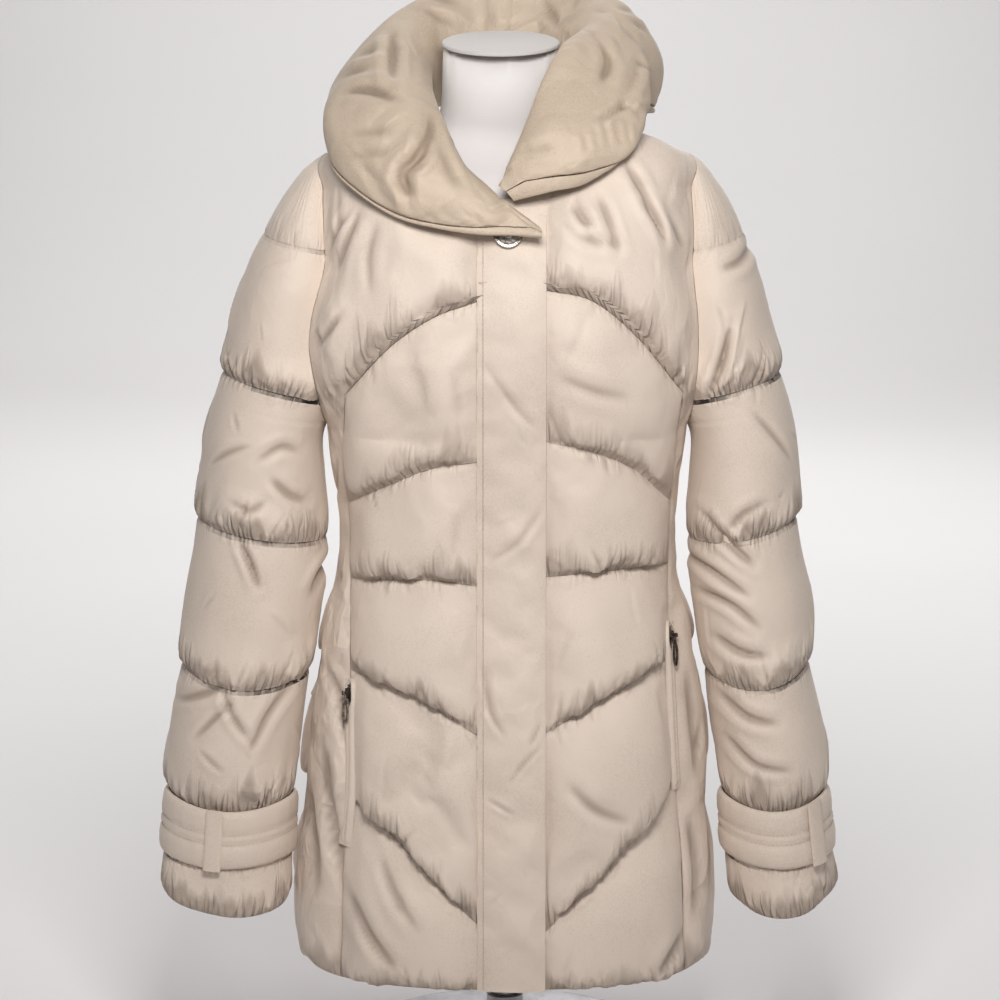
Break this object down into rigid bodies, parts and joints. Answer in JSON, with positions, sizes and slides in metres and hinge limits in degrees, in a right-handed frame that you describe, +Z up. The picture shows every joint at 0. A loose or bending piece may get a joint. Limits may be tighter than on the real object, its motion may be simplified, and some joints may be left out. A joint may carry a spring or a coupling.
{
  "type": "long puffer coat on a dress form",
  "caption": "Hip-length quilted coat with a wide pillow collar, hidden front zip, pocket zips and strapped cuffs, on a limbless dress form with a round stand.",
  "frame": {"origin": "centre of the underside of the stand's round base", "axes": "+Z up, -Y the way the coat's front faces, -X the wearer's right"},
  "size_m": [0.6688, 0.3045, 1.0551],
  "materials": {
    "shell_fabric": "satin woven nylon, champagne",
    "collar_fabric": "satin woven nylon, champagne",
    "form_cover": "matt white cover",
    "stand_metal": "satin",
    "silver_metal": "polished nickel",
    "dark_metal": "dark nickel"
  },
  "bodies": {
    "coat": {"back": "shell_fabric", "centre_front_right": "shell_fabric", "centre_front_left": "shell_fabric", "yoke_side_right": "shell_fabric", "yoke_side_left": "shell_fabric", "placket": "shell_fabric", "sleeve_right": "shell_fabric", "sleeve_left": "shell_fabric", "cuff_strap_right": "shell_fabric", "cuff_strap_left": "shell_fabric", "belt_loop_right": "shell_fabric", "belt_loop_left": "shell_fabric", "collar": "collar_fabric", "collar_band": "collar_fabric", "dress_form": "form_cover", "neck_cap": "form_cover", "form_flange": "stand_metal", "stand_pole": "stand_metal", "stand_foot": "stand_metal", "stand_base": "stand_metal", "throat_button": "silver_metal", "zip_chain_right": "dark_metal", "zip_chain_left": "dark_metal", "zip_slider_right": "dark_metal", "zip_slider_left": "dark_metal"},
    "pull_right": {"zip_pull_right": "silver_metal"},
    "pull_left": {"zip_pull_left": "dark_metal"}
  },
  "joints": [
    {"name": "pull_right_swing", "type": "hinge", "parent": "coat", "child": "pull_right", "pos_m": [-0.15342, -0.08652, 0.37698], "axis": [-0.7109, 0.6838, -0.1644], "range_deg": [0, 110]},
    {"name": "pull_left_swing", "type": "hinge", "parent": "coat", "child": "pull_left", "pos_m": [0.16378, -0.06477, 0.4292], "axis": [-0.5606, -0.8036, 0.2001], "range_deg": [0, 110]}
  ]
}
